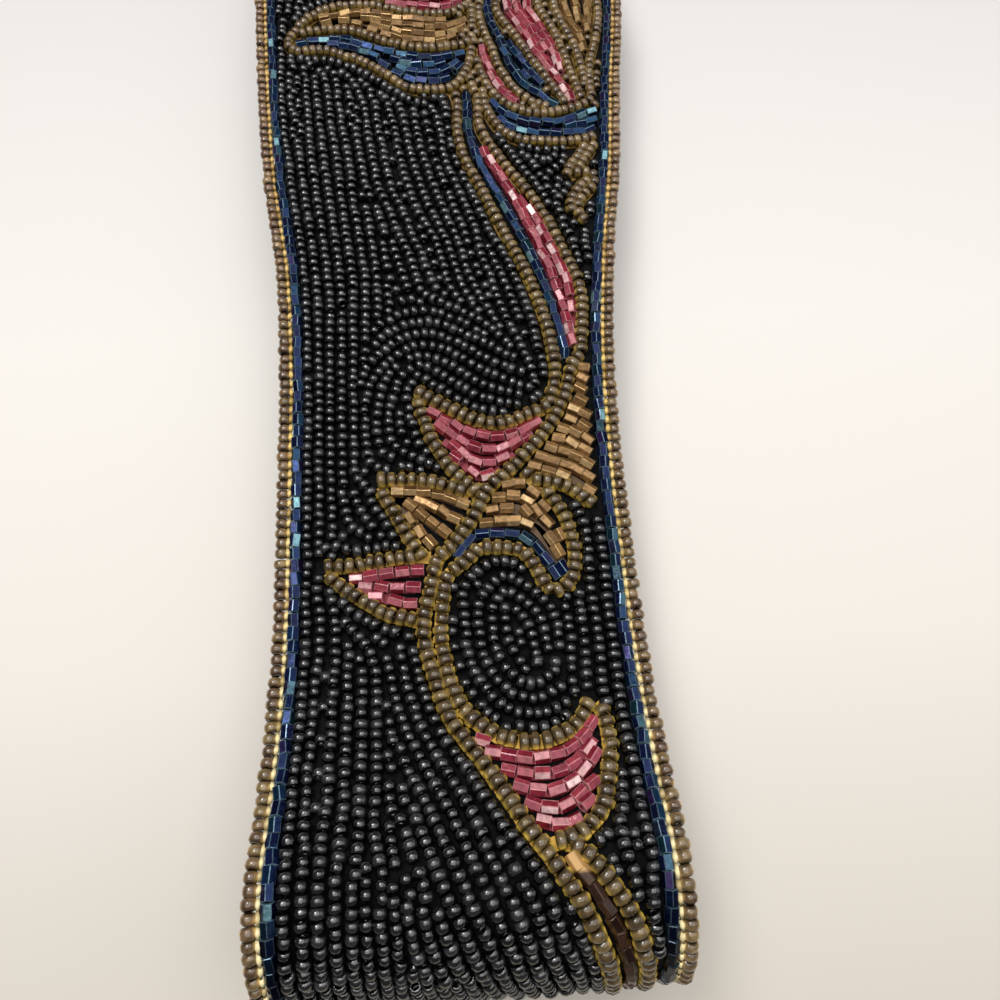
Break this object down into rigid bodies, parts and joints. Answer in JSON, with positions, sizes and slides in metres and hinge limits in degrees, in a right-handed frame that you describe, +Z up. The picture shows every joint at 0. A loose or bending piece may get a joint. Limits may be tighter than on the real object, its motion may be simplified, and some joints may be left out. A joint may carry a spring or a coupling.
{
  "type": "beaded belt",
  "caption": "Wide beaded fabric belt closed in a loop, with flowers, leaves and a winding vine outlined in glass beads on a black beaded ground.",
  "frame": {"origin": "middle of the collapsed loop's footprint, at the table", "axes": "+X across the belt towards the edge that swings out furthest, +Y along the belt, +Z up; the picture's bottom end is at -Y"},
  "size_m": [0.0908, 0.4399, 0.0343],
  "materials": {
    "felt": "matte black felt",
    "tab": "matte black felt, plain",
    "black_beads": "opaque glossy black seed beads",
    "amber_beads": "clear topaz seed beads",
    "blue_beads": "metallic blue iris cut beads",
    "pink_beads": "silver-lined rose cut beads",
    "bronze_beads": "metallic bronze and gold cut beads"
  },
  "bodies": {
    "root": {"felt_band": "felt", "closing_tab": "tab", "black_beads_near": "black_beads", "black_beads_stem": "black_beads", "black_beads_far": "black_beads", "amber_edging_left": "amber_beads", "amber_edging_right": "amber_beads", "amber_outline": "amber_beads", "blue_border_left": "blue_beads", "blue_border_right": "blue_beads", "blue_leaf_field": "blue_beads", "flower_blue_rows": "blue_beads", "blue_leaflet": "blue_beads", "stem_blue_row": "blue_beads", "blue_arc": "blue_beads", "pink_bud_field": "pink_beads", "flower_pink_row": "pink_beads", "pink_petal": "pink_beads", "stem_pink_rows": "pink_beads", "upper_crescent": "pink_beads", "pink_leaf": "pink_beads", "lower_crescent": "pink_beads", "gold_leaf_field": "bronze_beads", "bronze_columns": "bronze_beads", "bronze_field": "bronze_beads", "bronze_claw": "bronze_beads", "bronze_leaf": "bronze_beads", "bronze_bottom_row": "bronze_beads"}
  },
  "joints": []
}
